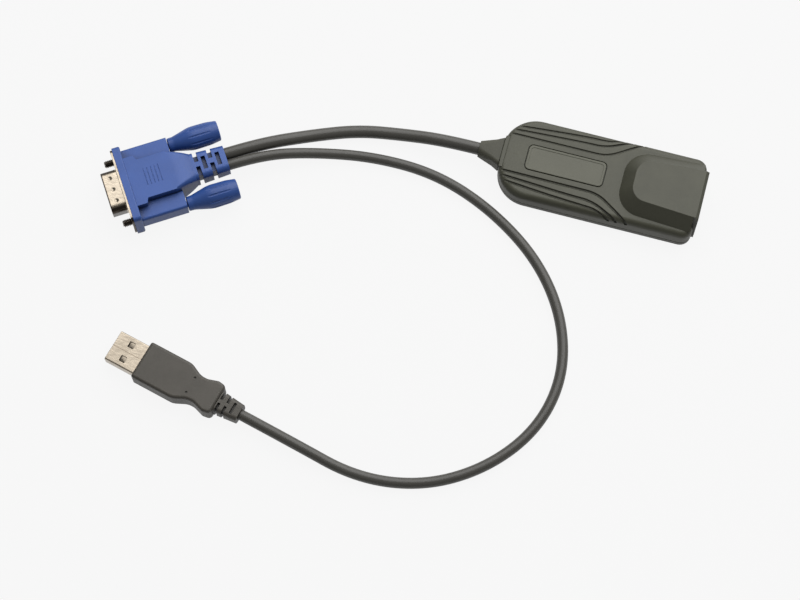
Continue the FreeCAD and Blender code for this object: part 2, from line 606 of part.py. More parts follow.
# ---------------------------------------------------------------- video plug: hood
hood = body("vga_hood", "vga")
pad(hood, "hood_flange", "YZ_Plane", "plate_thick", "hood_plate",
    mid_box("hood_half", "hood_high", "1.6"))
dress(hood, "Fillet", "hood_flange_edge", "0.6",
      lambda e: flat(e, "x", val("plate_thick + hood_plate")))
pad(hood, "hood_core", "XY_Plane", "-core_high", "2 * core_high",
    [("plate_thick", neg("shelf_half")), ("shelf_end", neg("shelf_half"), "0.6"),
     ("shelf_end + 0.8", neg("core_half"), "0.5"), ("core_end", neg("core_half")),
     ("core_end", "core_half"), ("shelf_end + 0.8", "core_half", "0.5"),
     ("shelf_end", "shelf_half", "0.6"), ("plate_thick", "shelf_half")])
shoulder = sketch(hood, "hood_shoulder", "YZ_Plane", "core_end",
                  mid_box("core_half", "core_high", "0.9"))
knee = sketch(hood, "hood_knee", "YZ_Plane", "(core_end + relief_start) / 2",
              mid_box("core_half * 0.86", "core_high * 0.93", "1.6"))
throat = sketch(hood, "hood_throat", "YZ_Plane", "relief_start",
                mid_box("relief_half", "relief_high", "relief_round"))
feature(hood, "AdditiveLoft", "hood_taper", shoulder, Sections=[knee, throat], Ruled=False)
throat_out = sketch(hood, "relief_root", "YZ_Plane", "relief_start",
                    mid_box("relief_half", "relief_high", "relief_round"))
tip = sketch(hood, "relief_tip", "YZ_Plane", "relief_end",
             mid_box("relief_tip_half", "relief_tip_high", "relief_round"))
feature(hood, "AdditiveLoft", "relief", throat_out, Sections=[tip], Ruled=True)
for side, sign in (("near", "-"), ("far", "")):
    y0, y1 = ("-rail_half", "-core_half + 0.4") if sign else ("core_half - 0.4", "rail_half")
    pad(hood, "rail_" + side, "YZ_Plane", "plate_thick", "rail_end - plate_thick",
        box(y0, y1, "-rail_high", "rail_high", "rail_round"))
pocket(hood, "sleeve_seat", "YZ_Plane", "-1", "plate_thick + sleeve_deep + fit_gap + 1",
       mid_box("sleeve_half + fit_gap", "sleeve_high + fit_gap", "1.2 + fit_gap"))
pocket(hood, "screw_bores", "YZ_Plane", "-1", "rail_end + 2", *screw_holes("screw_shank"))


def rib_sides(half, high, deep, bridge):
    """Two C-shaped cutters round a strain relief that leave a bridge above and below."""
    y, z = "%s - %s" % (half, deep), "%s - %s" % (high, deep)
    far = [(bridge, "%s + 1.5" % high), (bridge, z), (y, z), (y, neg(z)), (bridge, neg(z)),
           (bridge, neg("%s + 1.5" % high)), ("%s + 1.5" % half, neg("%s + 1.5" % high)),
           ("%s + 1.5" % half, "%s + 1.5" % high)]
    return [far, [(neg(a), b) for a, b in far]]


def rib_tops(half, high, deep):
    """Two cutters, above and below a strain relief."""
    z = "%s - %s" % (high, deep)
    return [box(neg(half), half, z, "%s + 1.5" % high),
            box(neg(half), half, neg("%s + 1.5" % high), neg(z))]


cut = pocket(hood, "side_slot", "YZ_Plane", "relief_start + rib_first", "rib_gap",
             *rib_sides("relief_tip_half", "relief_tip_high", "rib_deep", "rib_bridge"))
copies(hood, "side_slots", [cut], "X_Axis", "rib_pitch", "rib_count")
cut = pocket(hood, "top_slot", "YZ_Plane", "relief_start + rib_first + rib_pitch / 2", "rib_gap",
             *rib_tops("rib_top_half", "relief_tip_high", "rib_deep"))
copies(hood, "top_slots", [cut], "X_Axis", "rib_pitch", "rib_count")

# ---------------------------------------------------------------- video plug: thumbscrews
for side, sign in (("near", "-"), ("far", "")):
    shaft = body("thumbscrew_shaft_" + side, "vga")
    grip = body("thumbscrew_grip_" + side, "vga")
    for part in (shaft, grip):
        off = "%sscrew_spread / 2" % sign
        tie(part, ".Placement.Base.x", "vga_x - sin(vga_turn) * (%s)" % off)
        tie(part, ".Placement.Base.y", "vga_y + cos(vga_turn) * (%s)" % off)
    start = "rail_end + grip_gap"
    turn(shaft, "shaft", [("-screw_out", "0"), ("-screw_out", "screw_bore * 0.6"),
                          ("-screw_out + screw_bore * 0.5", "screw_bore"),
                          ("-thread_back", "screw_bore"), ("-thread_back", "screw_shank"),
                          (start + " + grip_bore_deep", "screw_shank"),
                          (start + " + grip_bore_deep", "0")])
    turn(grip, "grip", [(start, "0"), (start, "grip_neck", "0.4"),
                        (start + " + 2.2", "grip_neck + 0.1", "4"),
                        (start + " + 9", "grip_belly", "12"),
                        ("grip_end - 4", "grip_belly * 0.97", "12"),
                        ("grip_end", "grip_tip", "0.6"), ("grip_end", "0")])
    pocket(grip, "grip_bore", "YZ_Plane", start + " - 1", "grip_bore_deep + 1",
           ("0", "0", "screw_shank"))
    flute = pocket(grip, "flute", "YZ_Plane", start + " + 4", "grip_end",
                   ("grip_belly + flute_bore * 0.35", "0", "flute_bore"))
    wheel = grip.newObject("PartDesign::PolarPattern", "flutes")
    wheel.Originals = [flute]
    wheel.Axis = (plane(grip, "X_Axis"), [""])
    wheel.Angle = 360.0
    tie(wheel, "Occurrences", "flute_count")
    grip.Tip = wheel
    doc.recompute()

# ---------------------------------------------------------------- USB plug
shell = body("usb_shell", "usb")
pad(shell, "shell_tube", "YZ_Plane", "0", "shell_long",
    mid_box("shell_wide / 2", "shell_high / 2", "shell_round"),
    mid_box("shell_wide / 2 - shell_wall", "shell_high / 2 - shell_wall",
            "shell_round - shell_wall"))
half_window = "window_side / 2"
pocket(shell, "windows", "XY_Plane", "-shell_high", "2 * shell_high",
       *[box("window_x - " + half_window, "window_x + " + half_window,
             "%s - %s" % (y, half_window), "%s + %s" % (y, half_window), "0.2")
         for y in ("window_spread / 2", "-window_spread / 2")])

FLOOR = "-shell_high / 2 + shell_wall"
INNER = "shell_wide / 2 - shell_wall - fit_gap"
tongue = body("usb_tongue", "usb")
pad(tongue, "tongue_blade", "XY_Plane", FLOOR, "tongue_top - (%s)" % FLOOR,
    box("tongue_start", "shell_long", neg(INNER), INNER))
dress(tongue, "Chamfer", "tongue_keel", "shell_round - shell_wall",
      lambda e: flat(e, "z", val(FLOOR)) and e.BoundBox.XLength > val("tongue_block"))
pad(tongue, "tongue_root", "XY_Plane", FLOOR + " + shell_round - shell_wall",
    "shell_high - shell_wall - shell_round - fit_gap",
    box("tongue_block", "shell_long", neg(INNER), INNER))

strips = body("usb_contacts", "usb")
pad(strips, "strips", "XY_Plane", "tongue_top", "pad_thick",
    *[box("tongue_block - pad_long + %s" % lead, "tongue_block",
          "%s * pad_pitch - pad_wide / 2" % y, "%s * pad_pitch + pad_wide / 2" % y)
      for y, lead in (("-1.4", "0"), ("-0.4", "1"), ("0.4", "1"), ("1.4", "0"))])

mould = body("usb_overmould", "usb")
half = [("mould_start", "mould_half", "0.8"), ("waist_start", "mould_half", "6"),
        ("waist_x - 1.5", "waist_half", "6"), ("waist_x + 1.2", "waist_half", "4"),
        ("collar_x", "collar_half", "2.2"), ("mould_end", "collar_half * 0.92", "1.6")]
pad(mould, "mould_body", "XY_Plane", "-mould_high", "2 * mould_high",
    [(x, neg(y), r) for x, y, r in half] + half[::-1])
dress(mould, "Fillet", "mould_edge", "mould_round",
      lambda e: abs(abs(e.BoundBox.ZMin) - val("mould_high")) < 1e-4
      and e.BoundBox.ZLength < 1e-4)
root = sketch(mould, "usb_relief_root", "YZ_Plane", "mould_end",
              mid_box("usb_relief_half", "usb_relief_high", "usb_relief_round"))
end = sketch(mould, "usb_relief_tip_sketch", "YZ_Plane", "usb_relief_end",
             mid_box("usb_relief_tip", "usb_relief_tip_high", "usb_relief_round"))
feature(mould, "AdditiveLoft", "usb_relief", root, Sections=[end], Ruled=True)
pocket(mould, "shell_seat", "YZ_Plane", "mould_start - 1", "shell_long + 1 - mould_start",
       mid_box("shell_wide / 2", "shell_high / 2", "shell_round"))
cut = pocket(mould, "usb_side_slot", "YZ_Plane", "mould_end + usb_rib_first", "usb_rib_gap",
             *rib_sides("usb_relief_tip", "usb_relief_tip_high", "usb_rib_deep",
                        "usb_rib_bridge"))
copies(mould, "usb_side_slots", [cut], "X_Axis", "usb_rib_pitch", "usb_rib_count")
pocket(mould, "usb_top_slot", "YZ_Plane",
       "mould_end + usb_rib_first + usb_rib_count * usb_rib_pitch", "usb_rib_gap",
       *rib_tops("usb_rib_top_half", "usb_relief_tip_high", "usb_rib_deep"))
pocket(mould, "dots", "XY_Plane", "mould_high - 0.35", "1",
       ("dot_x", "dot_spread / 2", "dot_bore"), ("dot_x", "-dot_spread / 2", "dot_bore"))


# ---------------------------------------------------------------- cables
def at_plug(frame, x, y, z=0.0):
    """A point of a plug's frame, in the part's frame."""
    a = math.radians(val(frame + "_turn"))
    up = val({"vga": "hood_high", "usb": "mould_high"}[frame])
    return V(val(frame + "_x") + x * math.cos(a) - y * math.sin(a),
             val(frame + "_y") + x * math.sin(a) + y * math.cos(a), up + z)


def cable(label, radius, points):
    """A tube along straight runs joined by tangent arcs."""
    edges, here, length, radii = [], points[0], 0.0, []
    for i in range(1, len(points) - 1):
        p = points[i]
        back, ahead = points[i - 1] - p, points[i + 1] - p
        bend = (math.pi - back.getAngle(ahead)) / 2
        reach = 0.45 * min(back.Length, ahead.Length)
        r = reach / math.tan(bend)
        radii.append(r)
        back.normalize()
        ahead.normalize()
        a, b = p + back * reach, p + ahead * reach
        centre = p + (back + ahead).normalize() * (r / math.cos(bend))
        middle = centre + (p - centre).normalize() * r
        edges += [Part.LineSegment(here, a).toShape(), Part.Arc(a, middle, b).toShape()]
        length += (a - here).Length + 2 * bend * r
        here = b
    edges.append(Part.LineSegment(here, points[-1]).toShape())
    length += (points[-1] - here).Length
    path = Part.Wire(edges)
    start = Part.Wire(Part.Circle(points[0], points[1] - points[0], radius).toShape())
    tube = path.makePipeShell([start], True, False)
    obj = doc.addObject("Part::Feature", label)
    obj.Label = label
    obj.Shape = tube
    share = tube.Volume / (math.pi * radius ** 2 * length)
    print("%s: length %.1f, volume share %.4f, radii %s"
          % (label, length, share, [round(r) for r in radii]))
    if abs(share - 1) > 0.01:
        raise RuntimeError(label + " is not a plain tube")


relief_end = val("relief_end")
lead, exit_run = val("lead_spread") / 2, val("exit_run")
low_video, low_usb = val("video_bore"), val("usb_bore")
boot_tip = V(-val("pod_left + boot_long"), 0, val("exit_z"))
VIDEO_ROUTE = [(-76.0, -0.9, low_video + 0.3), (-92.5, -3.6, low_video),
               (-108.5, -10.0, low_video + 0.1)]
USB_ROUTE = [(-106.5, -17.0, low_usb + 1.0), (-84.0, -12.3, low_usb),
             (-60.0, -12.9, low_usb), (-37.0, -21.2, low_usb), (-15.5, -35.8, low_usb),
             (-1.0, -55.2, low_usb), (5.2, -77.5, low_usb), (1.0, -99.5, low_usb),
             (-13.0, -118.2, low_usb), (-33.0, -130.6, low_usb), (-57.0, -134.0, low_usb)]
cable("video_cable", low_video,
      [boot_tip, boot_tip - V(exit_run, 0, 0)] + [V(*p) for p in VIDEO_ROUTE]
      + [at_plug("vga", relief_end + exit_run, lead), at_plug("vga", relief_end, lead)])
cable("usb_cable", low_usb,
      [at_plug("vga", relief_end, -lead), at_plug("vga", relief_end + exit_run, -lead)]
      + [V(*p) for p in USB_ROUTE]
      + [at_plug("usb", val("usb_relief_end + 1.6 * exit_run"), 0.0),
         at_plug("usb", val("usb_relief_end"), 0.0)])

# ---------------------------------------------------------------- check and write
doc.recompute()
PARTS = ["upper_housing", "lower_housing", "badge_plate", "cable_boot", "circuit_board",
         "controller_chip", "memory_chip", "crystal", "wire_header", "capacitors",
         "jack_housing", "jack_contacts", "video_cable", "usb_cable", "vga_front_shell",
         "vga_rear_shell", "vga_insert", "vga_pins", "vga_hood", "thumbscrew_shaft_near",
         "thumbscrew_shaft_far", "thumbscrew_grip_near", "thumbscrew_grip_far", "usb_shell",
         "usb_tongue", "usb_contacts", "usb_overmould"]
for obj in doc.Objects:
    if "Invalid" in obj.State or "Error" in obj.State:
        raise RuntimeError("%s (%s) failed: %s" % (obj.Name, obj.Label, obj.State))
for label in PARTS:
    shape = doc.getObjectsByLabel(label)[0].Shape
    if shape.isNull() or not shape.isValid() or shape.Volume <= 0:
        raise RuntimeError(label + " has no valid shape")
    shape.exportStep("parts/%s.step" % label)
print("wrote", len(PARTS), "parts")
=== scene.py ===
"""KVM interface dongle: the finished looks of its pod, plugs, leads and stage."""
import math

import bpy
from mathutils import Matrix, Vector


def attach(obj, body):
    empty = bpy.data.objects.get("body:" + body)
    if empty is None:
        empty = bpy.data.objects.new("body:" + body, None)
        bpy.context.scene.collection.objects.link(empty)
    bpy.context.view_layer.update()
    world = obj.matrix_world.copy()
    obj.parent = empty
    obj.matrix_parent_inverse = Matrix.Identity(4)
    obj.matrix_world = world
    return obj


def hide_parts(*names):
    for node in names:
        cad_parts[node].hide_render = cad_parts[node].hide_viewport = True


bl_info = {
    "name": "KVM dongle finish",
    "version": (1, 0, 0),
    "blender": (4, 5, 0),
    "location": "3D View > Sidebar > Dongle",
    "description": "Finishes the pod, plugs and leads of a KVM interface dongle",
    "category": "Object",
}

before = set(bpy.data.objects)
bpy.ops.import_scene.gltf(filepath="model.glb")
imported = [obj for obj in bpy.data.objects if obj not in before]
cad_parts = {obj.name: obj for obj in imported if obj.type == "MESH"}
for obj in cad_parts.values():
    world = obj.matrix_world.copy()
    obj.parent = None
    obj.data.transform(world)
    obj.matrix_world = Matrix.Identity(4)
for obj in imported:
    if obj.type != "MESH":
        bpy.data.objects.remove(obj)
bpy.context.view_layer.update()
ROOT = "dongle"
MERGE = 1e-7

# ------------------------------------------------------------------ frames of the two plugs
VGA_AT, VGA_TURN = Vector((-0.1698, -0.0526, 0.0067)), math.radians(34.0)
USB_AT, USB_TURN = Vector((-0.1547, -0.1104, 0.0040)), math.radians(-13.6)


def frame_matrix(at, angle):
    """The place and turn of a plug on the table."""
    return Matrix.Translation(at) @ Matrix.Rotation(angle, 4, "Z")


VGA = frame_matrix(VGA_AT, VGA_TURN)
USB = frame_matrix(USB_AT, USB_TURN)

# ------------------------------------------------------------------ fixed sizes, in metres
# video plug, counted along it from its plate
RELIEF_END = 0.0404
DEE_LONG, DEE_TOP, TUBE_FROM = 0.0059, 0.00458, -0.0004
RIM_HALF = 0.0003
PLATE_SHADED, PLATE_FADE = 0.0134, 0.0006
DIMPLE_RADIUS, DIMPLE_DEEP, DIMPLE_PITCH = 0.0008, 0.0002, 0.0046
DISH = ((0.0, 1.0), (1.0, 1.0), (1.0, 0.0), (0.86, 0.1), (0.6, 0.6), (0.3, 0.85), (0.0, 0.9))
HOOD_TOP = 0.0063
RIB_PLACES = (0.0098, 0.0112, 0.0126, 0.0140, 0.0154)
RIB_LONG, RIB_WIDE, RIB_TALL, RIB_SUNK, RIB_ASIDE = 0.0005, 0.0072, 0.0004, 0.00006, 0.0004
RIB_ROUND, RIB_CROWN = 0.00008, (0.45, 0.95, 1.0)

# thumbscrews
SCREW_SPREAD = 0.024990
SCREW_OUT, THREAD_BACK, SHANK_END = 0.00336, 0.00025, 0.0294
THREAD_CREST, THREAD_ROOT = 0.00142, 0.00115
THREAD_STEPS = 28
THREAD_PROFILE = ((0.0, THREAD_ROOT), (0.08, THREAD_ROOT), (0.46, THREAD_CREST),
                  (0.54, THREAD_CREST), (0.92, THREAD_ROOT), (1.0, THREAD_ROOT))
TIP_TAPERS = ((0.5, 0.86), (0.02, 0.78))

# USB plug, counted along it from its open end
USB_RELIEF_END = 0.0531
USB_TOP, USB_WALL = 0.00225, 0.0003
WINDOW_AT, WINDOW_SPREAD, WINDOW_SIDE = 0.0060, 0.0060, 0.0023
TAB_GAP, TAB_THICK, TAB_UNDER, TAB_RIM = 0.00012, 0.00018, 0.0004, 0.0004
TAB_RISE, TAB_DIP, TAB_FRONT, TAB_ROUND = 0.00005, 0.00003, -0.0005, 0.00003
SEAM_HALF, SEAM_FADE = 0.00005, 0.0001

# the pod's styling lines: y at the nose, y at the bend, x of the bend, x where the line
# leaves the side, and the height of its terrace
STYLING_LINES = ((0.0077, 0.0078, 0.0005, 0.0134, 0.0090),
                 (0.0095, 0.0112, -0.0010, 0.0096, 0.0088),
                 (0.0112, 0.0138, -0.0005, 0.0068, 0.0086))
LINE_START, SWEEP_REACH, GROOVE_RADIUS = -0.0372, 0.0042, 0.00052
POD_HALF, SHOULDER = 0.0163, 0.0024
SHOULDER_TURNS = (25.0, 50.0, 75.0, 90.0)

# the leads' routes
BOOT_TIP = Vector((-0.0465, 0.0, 0.0050))
EXIT_RUN = 0.0135
LEAD_SPREAD = 0.0023
VIDEO_ROUTE = (
    [BOOT_TIP, BOOT_TIP - Vector((EXIT_RUN, 0, 0))]
    + [Vector(p) for p in ((-0.0760, -0.0009, 0.0027), (-0.0925, -0.0036, 0.0024),
                           (-0.1085, -0.0100, 0.0025))]
    + [VGA @ Vector((RELIEF_END + EXIT_RUN, LEAD_SPREAD, 0)),
       VGA @ Vector((RELIEF_END, LEAD_SPREAD, 0))])
USB_ROUTE = (
    [VGA @ Vector((RELIEF_END, -LEAD_SPREAD, 0)),
     VGA @ Vector((RELIEF_END + EXIT_RUN, -LEAD_SPREAD, 0))]
    + [Vector(p) for p in (
        (-0.1065, -0.0170, 0.0030), (-0.0840, -0.0123, 0.0020), (-0.0600, -0.0129, 0.0020),
        (-0.0370, -0.0212, 0.0020), (-0.0155, -0.0358, 0.0020), (-0.0010, -0.0552, 0.0020),
        (0.0052, -0.0775, 0.0020), (0.0010, -0.0995, 0.0020), (-0.0130, -0.1182, 0.0020),
        (-0.0330, -0.1306, 0.0020), (-0.0570, -0.1340, 0.0020))]
    + [USB @ Vector((USB_RELIEF_END + 1.6 * EXIT_RUN, 0, 0)),
       USB @ Vector((USB_RELIEF_END, 0, 0))])


# ------------------------------------------------------------------ finishes
# where each mask starts and where it is full: likeness of two normals (rubbed edges with
# painted highlight, painted dark reflection), upward lean (painted wall shade), openness
# (painted crease shade)
EDGE_FROM, EDGE_FULL = 0.995, 0.90
STEEP_FROM, STEEP_FULL = 0.985, 0.82
HIDDEN_FULL = 0.2
NOISE_LOW, NOISE_HIGH = 0.35, 0.65
MOTTLE_SCALE, STAIN_SCALE = 90.0, 260.0
STREAK_SCALE = (400.0, 2500.0, 2500.0)
# the first brown is painted dark reflection on the D shell; SEAM_BROWN is the USB shell's
# real seam line
PAINTED_SHADE_BROWN, SEAM_BROWN = (0.05, 0.04, 0.032, 1.0), (0.20, 0.16, 0.12, 1.0)
JACK_BLACK, CHIP_BLACK = (0.02, 0.02, 0.02, 1), (0.015, 0.015, 0.015, 1)
BOARD_GREEN, CAN_METAL = (0.01, 0.12, 0.05, 1), (0.7, 0.7, 0.7, 1)
NYLON, TONGUE_WHITE = (0.7, 0.68, 0.6, 1), (0.8, 0.79, 0.75, 1)

# ------------------------------------------------------------------ stage
FLOOR_SIDE, FLOOR_GREY, FLOOR_ROUGH, FLOOR_GLOW = 6.0, (0.38, 0.38, 0.38, 1), 0.9, 0.90
WORLD_LIGHT = 0.24
LAMP_AT, LAMP_WIDE, LAMP_POWER = Vector((0.05, 0.64, 0.82)), 1.6, 15.4
MIDDLE = Vector((-0.06, -0.06, 0.0))
LOOK_AT = Vector((-0.05979, -0.06429, 0.0))
CAMERA_TILT, CAMERA_TURN, CAMERA_FAR = math.radians(20.0), math.radians(15.3), 0.75
LENS, SENSOR = 91.8, 36.0
WHITE = (1, 1, 1, 1)


# ------------------------------------------------------------------ sizes and colours
def length(name, description, default):
    """A size property in metres."""
    return bpy.props.FloatProperty(name=name, description=description, default=default,
                                   unit="LENGTH", subtype="DISTANCE", precision=5)


def colour(name, description, default):
    """A colour property from three numbers."""
    return bpy.props.FloatVectorProperty(name=name, description=description, size=4,
                                         default=(*default, 1.0), subtype="COLOR",
                                         min=0.0, max=1.0)


class DongleSizes(bpy.types.PropertyGroup):
    """Sizes that a user may change"""
    video_bore: length("Video lead radius", "Radius of the video lead's jacket", 0.0024)
    usb_bore: length("USB lead radius", "Radius of the USB lead's jacket", 0.0020)
    thread_pitch: length("Thread pitch", "Pitch of the thumbscrews' thread", 0.000635)
    grain: length("Moulded grain", "Spacing of the moulded texture on the pod", 0.00022)


class DongleColours(bpy.types.PropertyGroup):
    """Colours that a user may change"""
    pod: colour("Pod", "Olive grey plastic of the pod", (0.071, 0.071, 0.047))
    badge: colour("Badge", "Face of the badge plate", (0.108, 0.108, 0.077))
    boot: colour("Boot", "Soft boot on the pod", (0.068, 0.067, 0.048))
    jacket: colour("Lead jacket", "Dark grey jacket of both leads", (0.076, 0.073, 0.064))
    blue: colour("Plug blue", "Blue of the video plug's hood", (0.040, 0.108, 0.390))
    grip: colour("Grip blue", "Duller blue of the thumbscrews' grips", (0.027, 0.080, 0.300))
    usb_grey: colour("USB grey", "Dark grey of the USB plug's mould", (0.084, 0.076, 0.063))
    plating: colour("Plating", "Warm nickel plating of the connector shells",
                    (0.392, 0.339, 0.270))
    screw: colour("Screw plating", "Dark plating of the thumbscrews", (0.13, 0.115, 0.10))
    gold: colour("Contact gold", "Gold of the contacts", (0.83, 0.60, 0.26))


# ------------------------------------------------------------------ material building
def new_material(name):
    """A material with its node tree and its main shader."""
    mat = bpy.data.materials.new(name)
    mat.use_nodes = True
    tree = mat.node_tree
    bsdf = tree.nodes["Principled BSDF"]
    return mat, tree, bsdf


def node(tree, kind, **inputs):
    """A new node with its named sockets or settings filled in."""
    n = tree.nodes.new(kind)
    for key, value in inputs.items():
        if key in n.inputs:
            n.inputs[key].default_value = value
        else:
            setattr(n, key, value)
    return n


def spread(tree, source, start, end, low=0.0, high=1.0):
    """Carry a value from the range start..end over to low..high."""
    n = node(tree, "ShaderNodeMapRange")
    for key, value in (("From Min", start), ("From Max", end), ("To Min", low),
                       ("To Max", high)):
        n.inputs[key].default_value = value
    tree.links.new(source, n.inputs["Value"])
    return n.outputs["Result"]


def ramp(tree, source, low, high):
    """Spread the middle of a noise pattern between two values."""
    return spread(tree, source, NOISE_LOW, NOISE_HIGH, low, high)


def maths(tree, operation, *terms):
    """A Math node on sockets and plain numbers."""
    n = node(tree, "ShaderNodeMath", operation=operation)
    for socket, term in zip(n.inputs, terms):
        if hasattr(term, "is_linked"):
            tree.links.new(term, socket)
        else:
            socket.default_value = term
    return n.outputs[0]


def scaled(rgba, factor):
    """A colour made lighter or darker."""
    return (rgba[0] * factor, rgba[1] * factor, rgba[2] * factor, 1.0)


def soft_edges(tree, radius):
    """The surface normal with every edge eased by a small radius."""
    return node(tree, "ShaderNodeBevel", samples=6, Radius=radius).outputs["Normal"]


def edge_mask(tree, eased):
    """1 along eased edges, 0 on flat ground."""
    face = node(tree, "ShaderNodeNewGeometry")
    likeness = node(tree, "ShaderNodeVectorMath", operation="DOT_PRODUCT")
    tree.links.new(face.outputs["Normal"], likeness.inputs[0])
    tree.links.new(eased, likeness.inputs[1])
    return spread(tree, likeness.outputs["Value"], EDGE_FROM, EDGE_FULL)


def crease_shade_mask(tree, reach, open_at=0.75):
    """0 in the open, rising to 1 down in grooves, corners and gaps, where painted shade goes.
    """
    hidden = node(tree, "ShaderNodeAmbientOcclusion", samples=8, Distance=reach)
    return spread(tree, hidden.outputs["AO"], open_at, HIDDEN_FULL)


def plug_space(tree, at, turn):
    """Object coordinates counted in a plug's own frame."""
    place = node(tree, "ShaderNodeTexCoord")
    local = node(tree, "ShaderNodeMapping", vector_type="TEXTURE")
    local.inputs["Location"].default_value = at
    local.inputs["Rotation"].default_value = (0.0, 0.0, turn)
    tree.links.new(place.outputs["Object"], local.inputs["Vector"])
    split = node(tree, "ShaderNodeSeparateXYZ")
    tree.links.new(local.outputs["Vector"], split.inputs["Vector"])
    return split


def steep_shade_mask(tree):
    """0 on level faces, 1 on faces that slope by some 35 degrees or more: where painted shade
    goes on walls.
    """
    face = node(tree, "ShaderNodeTexCoord")
    split = node(tree, "ShaderNodeSeparateXYZ")
    tree.links.new(face.outputs["Normal"], split.inputs["Vector"])
    return spread(tree, split.outputs["Z"], STEEP_FROM, STEEP_FULL)


def window_mask(tree, source, middle, half, soft):
    """1 where a coordinate lies within half of the middle, fading over soft."""
    off = maths(tree, "ABSOLUTE", maths(tree, "SUBTRACT", source, middle))
    return spread(tree, off, half + soft, half)


def blended(tree, factor, a, b):
    """A colour between a and b, each a socket or an RGBA value."""
    mix = node(tree, "ShaderNodeMix", data_type="RGBA")
    tree.links.new(factor, mix.inputs["Factor"])
    for name, end in (("A", a), ("B", b)):
        if hasattr(end, "is_linked"):
            tree.links.new(end, mix.inputs[name])
        else:
            mix.inputs[name].default_value = end
    return mix.outputs["Result"]


def moulded(name, rgba, grain=0.00025, depth=0.00002, rough=(0.42, 0.55), mottle=0.08,
            edge=0.0002, rubbed_and_highlight=1.12, reach=0.0022, shaded=0.42, open_at=0.75, wall_shade=1.0):
    """Moulded plastic: spark-eroded grain, slow mottling, uneven gloss, and edges lighter
    from rubbed wear and a painted highlight.

    Walls and creases get painted shade, darker than the open top, by the wall and crease
    shade factors.
    """
    mat, tree, bsdf = new_material(name)
    place = node(tree, "ShaderNodeTexCoord")
    fine = node(tree, "ShaderNodeTexNoise", Scale=1.0 / grain, Detail=3.0, Roughness=0.6)
    slow = node(tree, "ShaderNodeTexNoise", Scale=MOTTLE_SCALE, Detail=4.0, Roughness=0.65)
    for n in (fine, slow):
        tree.links.new(place.outputs["Object"], n.inputs["Vector"])
    ground = blended(tree, ramp(tree, slow.outputs["Fac"], 0.0, 1.0),
                     scaled(rgba, 1.0 - mottle), scaled(rgba, 1.0 + mottle))
    eased = soft_edges(tree, edge)
    # eased edges lighter: rubbed wear and a painted highlight
    wear_and_painted_light = blended(tree, edge_mask(tree, eased), ground, scaled(rgba, rubbed_and_highlight))
    # sloping walls darker: painted shade
    if wall_shade != 1.0:
        wear_and_painted_light = blended(tree, steep_shade_mask(tree), wear_and_painted_light, scaled(rgba, wall_shade))
    # grooves, corners and gaps darker: painted shade
    shaded_in_creases = blended(tree, crease_shade_mask(tree, reach, open_at), wear_and_painted_light, scaled(rgba, shaded))
    tree.links.new(shaded_in_creases, bsdf.inputs["Base Color"])
    tree.links.new(ramp(tree, fine.outputs["Fac"], *rough), bsdf.inputs["Roughness"])
    bump = node(tree, "ShaderNodeBump", Strength=0.6, Distance=depth)
    tree.links.new(fine.outputs["Fac"], bump.inputs["Height"])
    tree.links.new(eased, bump.inputs["Normal"])
    tree.links.new(bump.outputs["Normal"], bsdf.inputs["Normal"])
    return mat


def plated(name, rgba, rough=(0.18, 0.34), depth=0.000004, edge=0.00015, edge_dark_reflection=0.45,
           seams_and_shade=None, seam_and_shade_colour=PAINTED_SHADE_BROWN, crease_shade=0.2):
    """Plated sheet metal: drawn streaks, slight staining, painted dark reflection along its
    eased edges and painted shade in its creases.
    """
    mat, tree, bsdf = new_material(name)
    place = node(tree, "ShaderNodeTexCoord")
    stretch = node(tree, "ShaderNodeMapping")
    stretch.inputs["Scale"].default_value = STREAK_SCALE
    tree.links.new(place.outputs["Object"], stretch.inputs["Vector"])
    streak = node(tree, "ShaderNodeTexNoise", Scale=1.0, Detail=3.0)
    tree.links.new(stretch.outputs["Vector"], streak.inputs["Vector"])
    stain = node(tree, "ShaderNodeTexNoise", Scale=STAIN_SCALE, Detail=3.0)
    tree.links.new(place.outputs["Object"], stain.inputs["Vector"])
    ground = blended(tree, ramp(tree, stain.outputs["Fac"], 0.0, 1.0), scaled(rgba, 0.90),
                     scaled(rgba, 1.05))
    eased = soft_edges(tree, edge)
    # eased edges darker: painted dark reflection
    stains_and_painted_shade = blended(tree, edge_mask(tree, eased), ground, scaled(rgba, edge_dark_reflection))
    # creases darker: painted shade
    stains_and_painted_shade = blended(tree, crease_shade_mask(tree, 0.0008, 0.6), stains_and_painted_shade, scaled(rgba, crease_shade))
    # marks from the caller: painted dark reflection and shade on the D shell, a real seam
    # line on the USB shell
    if seams_and_shade:
        stains_and_painted_shade = blended(tree, seams_and_shade(tree), stains_and_painted_shade, seam_and_shade_colour)
    tree.links.new(stains_and_painted_shade, bsdf.inputs["Base Color"])
    bsdf.inputs["Metallic"].default_value = 1.0
    tree.links.new(ramp(tree, streak.outputs["Fac"], *rough), bsdf.inputs["Roughness"])
    bump = node(tree, "ShaderNodeBump", Strength=0.5, Distance=depth)
    tree.links.new(streak.outputs["Fac"], bump.inputs["Height"])
    tree.links.new(eased, bump.inputs["Normal"])
    tree.links.new(bump.outputs["Normal"], bsdf.inputs["Normal"])
    return mat


def dress(mat, *nodes_named):
    """Give carried-over CAD nodes a material."""
    for name in nodes_named:
        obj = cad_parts[name]
        obj.data.materials.clear()
        obj.data.materials.append(mat)


# ------------------------------------------------------------------ modelling helpers
def only(obj):
    """Make one object the sole selected and active one."""
    bpy.ops.object.select_all(action="DESELECT")
    obj.select_set(True)
    bpy.context.view_layer.objects.active = obj


def edit(obj):
    """Enter edit mode on one object with everything selected."""
    only(obj)
    bpy.ops.object.mode_set(mode="EDIT")
    bpy.ops.mesh.select_mode(type="VERT")
    bpy.ops.mesh.select_all(action="SELECT")


